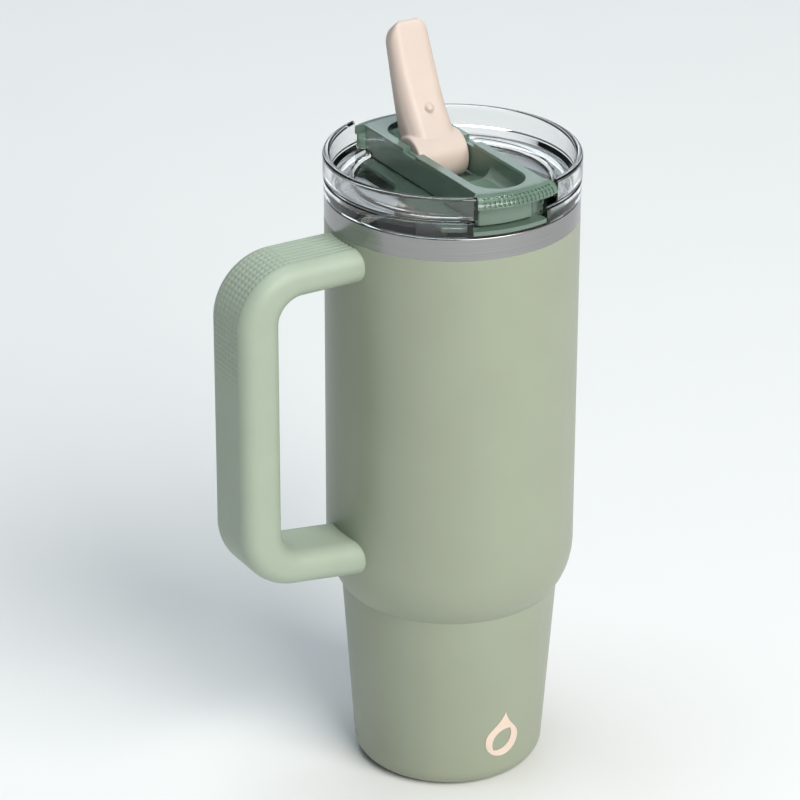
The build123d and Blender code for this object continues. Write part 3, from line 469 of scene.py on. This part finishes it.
# Distance up the spout, width, reach to the front and to the back of the hinge's axis, and
# the corner radii at the front and at the back as shares of the depth.
stem_sections = [
    (-0.0010, 0.0184, 0.0050, 0.0080, 0.30, 0.40),
    (0.0040, 0.0194, 0.0072, 0.0092, 0.30, 0.40),
    (0.0100, 0.0199, 0.0058, 0.0094, 0.36, 0.40),
    (0.0170, 0.0199, 0.0039, 0.0093, 0.42, 0.42),
    (0.0240, 0.0196, 0.0024, 0.0091, 0.46, 0.44),
    (0.0320, 0.0192, 0.0013, 0.0089, 0.47, 0.46),
    (0.0400, 0.0187, 0.0007, 0.0087, 0.47, 0.47),
    (0.0480, 0.0181, 0.0003, 0.0085, 0.48, 0.48),
    (0.0570, 0.0174, 0.0000, 0.0083, 0.48, 0.48),
]
tip_height = 0.0538
tip_slope = math.radians(19.0)
tip_half = 0.0088
tip_corner_r = 0.0074
tip_rim = 0.0018
barrel_r = 0.0095
barrel_half = 0.01085
barrel_edge = 0.0008
core_r = 0.0077
core_half = 0.0097
tube_r = 0.0035
tube_end = 0.0260
bore_offset = 0.0038
bore_r = 0.0026
mouth_floor = 0.0493
mouth_half = 0.0040
mouth_r = 0.0027
cut_low = -0.012          # the bore's cutter runs past both ends of the spout
cut_high = 0.070
pin_cut = 0.020
pin_room = 0.0019
bump_r = 0.0019
bump_up = 0.0186
bump_front = 0.00335
voxel = 0.00030


def stem_point(across, back, up):
    """Place on the raised spout, from the middle of its hinge."""
    return hinge + Vector((across, 0, 0)) + stem_back * back + stem_up * up


def stem_ring(up):
    """Rounded section of the stem: (across, back) pairs at a height."""
    low, high = next(
        pair for pair in zip(stem_sections, stem_sections[1:]) if up <= pair[1][0]
    )
    share = (up - low[0]) / (high[0] - low[0])
    wide, front, back, front_round, back_round = (
        a + (b - a) * share for a, b in zip(low[1:], high[1:])
    )
    depth = front + back
    ring = []
    corners = ((1, -1, front_round, -90), (1, 1, back_round, 0), (-1, 1, back_round, 90),
               (-1, -1, front_round, 180))
    for side, end, share_of_depth, start in corners:
        radius = share_of_depth * depth
        centre_x = side * (wide / 2 - radius)
        centre_y = (back - radius) if end > 0 else (radius - front)
        for k in range(13):
            angle = math.radians(start + 90 * k / 12)
            ring.append((centre_x + radius * math.cos(angle), centre_y + radius * math.sin(angle)))
    return ring


def tip_top(across, back):
    """Height of the tip's domed surface over a point of the section."""
    past = min(max(abs(across) - (tip_half - tip_corner_r), 0), tip_corner_r)
    drop = tip_corner_r - math.sqrt(tip_corner_r**2 - past**2)
    return tip_height - back * math.tan(tip_slope) - drop / math.cos(tip_slope)


def stem_mesh():
    """The stem from inside the barrel to its domed tip."""
    low = stem_sections[0][0]
    steps = 56
    rings = []
    for k in range(steps + 1):
        share = k / steps
        ring = stem_ring(low + (tip_height - low) * share)
        rings.append([
            stem_point(x, y, low + (tip_top(x, y) - tip_rim - low) * share) for x, y in ring
        ])
    last = stem_ring(tip_height)
    half_wide = max(x for x, _ in last)
    half_deep = (max(y for _, y in last) - min(y for _, y in last)) / 2
    middle_y = max(y for _, y in last) - half_deep
    for k in range(1, 8):
        angle = math.radians(90 * k / 7)
        inset = tip_rim * (1 - math.cos(angle))
        drop = tip_rim * (1 - math.sin(angle))
        inner = [
            (x * (1 - inset / half_wide), middle_y + (y - middle_y) * (1 - inset / half_deep))
            for x, y in last
        ]
        rings.append([stem_point(x, y, tip_top(x, y) - drop) for x, y in inner])
    for shrink in (0.85, 0.7, 0.55, 0.4, 0.25, 0.1):
        core = [(x * shrink, middle_y + (y - middle_y) * shrink) for x, y in inner]
        rings.append([stem_point(x, y, tip_top(x, y)) for x, y in core])
    return closed_mesh("stem", rings, True)


def turned_mesh(name, centre, along, profile, steps=72):
    """Turn a profile of (distance along, radius) pairs about an axis."""
    side = Vector((0, 0, 1)) if abs(along.z) < 0.9 else Vector((0, 1, 0))
    up = along.cross(side)
    rings = []
    for run, radius in profile:
        angles = [2 * math.pi * k / steps for k in range(steps)]
        rings.append([
            centre + along * run + (side * math.cos(a) + up * math.sin(a)) * radius for a in angles
        ])
    return closed_mesh(name, rings, True)


def barrel_mesh():
    """The barrel that turns on the pins, with rounded rims."""
    rim = [math.radians(90 * k / 6) for k in range(7)]
    flat = barrel_half - barrel_edge
    high = [
        (flat + barrel_edge * math.sin(a), barrel_r - barrel_edge * (1 - math.cos(a))) for a in rim
    ]
    low = [(-run, radius) for run, radius in reversed(high)]
    return turned_mesh("barrel", hinge, Vector((1, 0, 0)), low + high, 144)


def bump_mesh():
    """The round plug on the stem's front that closes the vent."""
    angles = [math.pi * (k + 0.2) / 16 for k in range(16)]
    profile = [(-bump_r * math.cos(a), bump_r * math.sin(a)) for a in angles]
    return turned_mesh("bump", stem_point(0, -bump_front, bump_up), stem_up, profile, 48)


def make_spout():
    """Silicone spout in one moulding: stem, barrel and bump, bored for its core and pins."""
    whole = bmesh.new()
    for mesh in (stem_mesh(), barrel_mesh(), bump_mesh()):
        whole.from_mesh(mesh)
        bpy.data.meshes.remove(mesh)
    mesh = bpy.data.meshes.new("spout_moulding")
    whole.to_mesh(mesh)
    whole.free()
    piece = new_object("spout_moulding", mesh)
    remesh = piece.modifiers.new("one_skin", "REMESH")
    remesh.mode = "VOXEL"
    remesh.voxel_size = voxel
    relax = piece.modifiers.new("soft_edges", "SMOOTH")
    relax.factor = 0.5
    relax.iterations = 8
    settle(piece)
    cutters = [
        rod("core_room", hinge - Vector((core_half, 0, 0)), hinge + Vector((core_half, 0, 0)), core_r),
        rod("tube_room", hinge + stem_back * bore_offset, stem_point(0, bore_offset, tube_end), tube_r),
        rod("bore", stem_point(0, bore_offset, cut_low), stem_point(0, bore_offset, cut_high), bore_r),
        rod("mouth", stem_point(0, bore_offset, mouth_floor), stem_point(0, bore_offset, cut_high),
            mouth_r, stretch=mouth_half - bore_r),
        rod("pin_room", hinge - Vector((pin_cut, 0, 0)), hinge + Vector((pin_cut, 0, 0)), pin_room),
    ]
    carve(piece, cutters)
    finish_piece(piece, spout_silicone, 50)
    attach(piece, "spout")
    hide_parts("spout")


make_grip()
make_spout()


# ---------------------------------------------------------------- floor, light and camera
def aim(thing, place, target):
    """Put a light at a place and turn it to a target."""
    thing.location = place
    thing.rotation_euler = (Vector(target) - Vector(place)).to_track_quat("-Z", "Y").to_euler()


def soft_light(name, place, target, width, height, power, colour):
    """A rectangular studio light."""
    data = bpy.data.lights.new(name, "AREA")
    data.shape = "RECTANGLE"
    data.size = width
    data.size_y = height
    data.energy = power
    data.color = colour
    light = bpy.data.objects.new(name, data)
    bpy.context.collection.objects.link(light)
    aim(light, place, target)


def add_floor():
    """A wide, plain, pale floor."""
    half = 6.0
    mesh = bpy.data.meshes.new("floor")
    mesh.from_pydata(
        [(-half, -half, 0), (half, -half, 0), (half, half, 0), (-half, half, 0)], [], [(0, 1, 2, 3)]
    )
    floor = bpy.data.objects.new("floor", mesh)
    bpy.context.collection.objects.link(floor)
    pale = Shader("pale_floor", (0.80, 0.80, 0.80), 0.8)
    pale.vary_roughness(pale.grain(20), 0.75, 0.85)
    mesh.materials.append(pale.material)


def add_world():
    """Even, slightly cool studio surroundings."""
    world = bpy.data.worlds.new("studio")
    world.use_nodes = True
    world.node_tree.nodes["Background"].inputs["Color"].default_value = (0.80, 0.92, 1.0, 1)
    world.node_tree.nodes["Background"].inputs["Strength"].default_value = 0.15
    bpy.context.scene.world = world


def add_camera():
    """The camera stands in front of the spout, turned towards the handle's side."""
    yaw, pitch, roll = math.radians(30.891), math.radians(25.497), math.radians(0.134)
    data = bpy.data.cameras.new("camera")
    data.lens = 168.1
    data.sensor_width = 36.0
    data.clip_end = 20
    camera = bpy.data.objects.new("camera", data)
    bpy.context.collection.objects.link(camera)
    turn = Matrix.Rotation(-yaw, 4, "Z") @ Matrix.Rotation(math.pi / 2 - pitch, 4, "X")
    turn = turn @ Matrix.Rotation(roll, 4, "Z")
    camera.matrix_world = Matrix.Translation((-0.69387, -1.12128, 0.782875)) @ turn
    bpy.context.scene.camera = camera


def set_colour_handling():
    """Plain display transform, and enough bounces for clear walls behind clear walls."""
    scene = bpy.context.scene
    scene.view_settings.view_transform = "Standard"
    scene.cycles.max_bounces = 16
    scene.cycles.transmission_bounces = 16
    scene.cycles.transparent_max_bounces = 16
    scene.cycles.caustics_reflective = False


middle = (0, 0, 0.14)
soft_light("key", (0.30, -3.15, 2.60), middle, 2.8, 2.8, 205, (1.0, 0.98, 0.93))
soft_light("back", (0.95, 1.55, 1.10), (0, 0, 0.26), 1.2, 0.7, 4, (0.86, 0.94, 1.0))
soft_light("top", (-0.3, 0.3, 3.0), middle, 1.6, 1.6, 40, (0.86, 0.95, 1.0))
add_floor()
add_world()
add_camera()
set_colour_handling()
